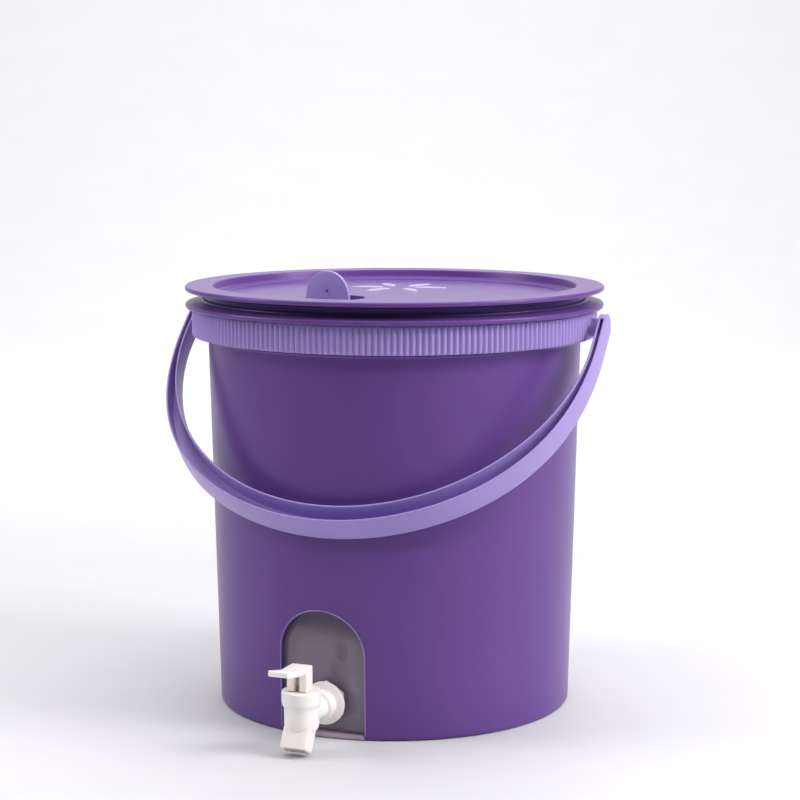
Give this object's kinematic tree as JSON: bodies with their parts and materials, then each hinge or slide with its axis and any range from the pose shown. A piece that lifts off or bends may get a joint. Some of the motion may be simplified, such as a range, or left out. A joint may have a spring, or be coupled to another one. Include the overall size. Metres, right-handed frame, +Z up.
{
  "type": "plastic fermenting bucket",
  "caption": "Tapered plastic fermenting bucket with a plug lid, fold-down vent flap, swinging bail and push-lever tap in an arched recess.",
  "frame": {"origin": "middle of the tub's base, on the surface that the bucket stands on", "axes": "+Z up, -Y towards the tap at the front, X to the side"},
  "size_m": [0.2839, 0.316, 0.2819],
  "materials": {
    "tub_plastic": "satin moulded polypropylene, purple",
    "trim_plastic": "satin moulded polypropylene, lavender",
    "tap_plastic": "semi-gloss moulded plastic, warm white",
    "panel_plastic": "glossy smoked grey plastic",
    "seal_silicone": "translucent white silicone",
    "spring_steel": "bright stainless wire"
  },
  "bodies": {
    "bucket": {"bucket_body": "tub_plastic", "tap_panel": "panel_plastic", "collar_ring": "trim_plastic", "pivot_stud_right": "trim_plastic", "pivot_stud_left": "trim_plastic", "tap_body": "tap_plastic", "tap_hex_nut": "tap_plastic", "tap_outer_gasket": "seal_silicone", "tap_inner_gasket": "seal_silicone", "tap_backnut": "tap_plastic", "tap_bonnet": "tap_plastic"},
    "bail": {"bail_handle": "trim_plastic"},
    "lid_assembly": {"lid": "tub_plastic", "lid_seal": "seal_silicone", "vent_flap_pin": "spring_steel"},
    "flap": {"vent_flap": "trim_plastic"},
    "valve": {"tap_stem": "tap_plastic", "tap_seat_cup": "seal_silicone", "tap_spring": "spring_steel"},
    "lever": {"tap_lever": "tap_plastic", "tap_lever_pin": "tap_plastic"}
  },
  "joints": [
    {"name": "bail_swing", "type": "hinge", "parent": "bucket", "child": "bail", "pos_m": [0, 0, 0.2468], "axis": [-0.9986, -0.0523, 0], "range_deg": [0, 260]},
    {"name": "lid_lift", "type": "slide", "parent": "bucket", "child": "lid_assembly", "axis": [0, 0, 1], "range_m": [0, 0.06]},
    {"name": "vent_flap_fold", "type": "hinge", "parent": "lid_assembly", "child": "flap", "pos_m": [-0.0265, -0.0463, 0.2623], "axis": [-0.9763, 0.2164, 0], "range_deg": [0, 90]},
    {"name": "tap_stem_lift", "type": "slide", "parent": "bucket", "child": "valve", "axis": [0, 0, 1], "range_m": [0, 0.002], "deforming": ["tap_spring"]},
    {"name": "tap_lever_press", "type": "hinge", "parent": "valve", "child": "lever", "pos_m": [0, -0.1485, 0.045], "axis": [1, 0, 0], "range_deg": [0, 20], "stiffness_Nm_per_rad": 0.15, "springref_deg": -20.05}
  ],
  "couplings": [
    {"joint": "tap_stem_lift", "follows": "tap_lever_press", "m_per_rad": 0.0052}
  ]
}
